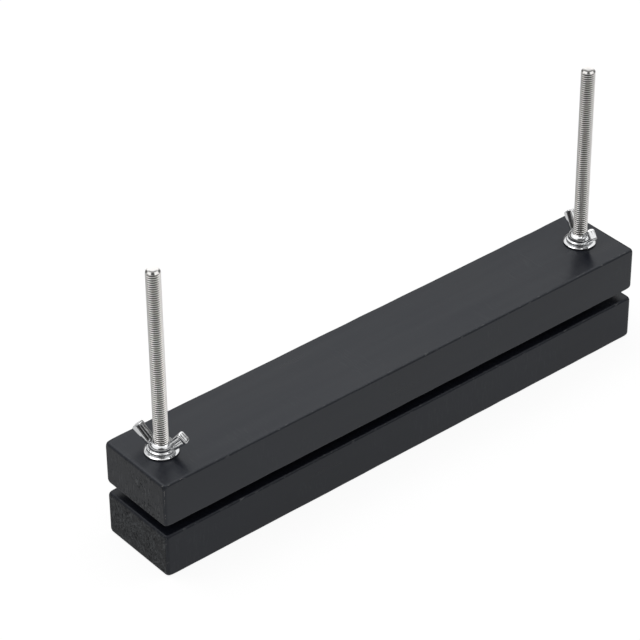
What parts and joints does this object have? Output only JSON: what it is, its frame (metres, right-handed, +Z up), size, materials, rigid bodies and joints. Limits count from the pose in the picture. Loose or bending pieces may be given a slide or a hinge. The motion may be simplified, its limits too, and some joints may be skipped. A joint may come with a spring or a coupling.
{
  "type": "book press",
  "caption": "Small book press: equal black wooden bars on upright threaded rods, clamped together by wing nuts over washers.",
  "frame": {"origin": "middle of the lower bar's underside", "axes": "+X along the bars, +Z up the rods, Y through the depth of the bars"},
  "size_m": [0.25, 0.038, 0.1293],
  "materials": {
    "painted_wood": "satin black paint on fine-grained wood",
    "threaded_steel": "plain rolled thread",
    "bright_steel": "bright polished"
  },
  "bodies": {
    "base": {"lower_bar": "painted_wood", "left_bolt": "threaded_steel", "right_bolt": "threaded_steel", "left_bolt_washer": "bright_steel", "right_bolt_washer": "bright_steel"},
    "upper_bar": {"upper_bar": "painted_wood", "left_washer": "bright_steel", "right_washer": "bright_steel"},
    "left_wing_nut": {"left_wing_nut": "bright_steel"},
    "right_wing_nut": {"right_wing_nut": "bright_steel"}
  },
  "joints": [
    {"name": "upper_bar_travel", "type": "slide", "parent": "base", "child": "upper_bar", "axis": [0, 0, 1], "range_m": [-0.0047, 0.078]},
    {"name": "left_wing_nut_spin", "type": "hinge", "parent": "upper_bar", "child": "left_wing_nut", "pos_m": [-0.1115, 0, 0.0457], "axis": [0, 0, 1], "range_deg": [-1692, 28080]},
    {"name": "right_wing_nut_spin", "type": "hinge", "parent": "upper_bar", "child": "right_wing_nut", "pos_m": [0.1115, 0, 0.0457], "axis": [0, 0, 1], "range_deg": [-1692, 28080]}
  ],
  "couplings": [
    {"joint": "left_wing_nut_spin", "follows": "upper_bar_travel", "rad_per_m": 6283.2},
    {"joint": "right_wing_nut_spin", "follows": "upper_bar_travel", "rad_per_m": 6283.2}
  ]
}
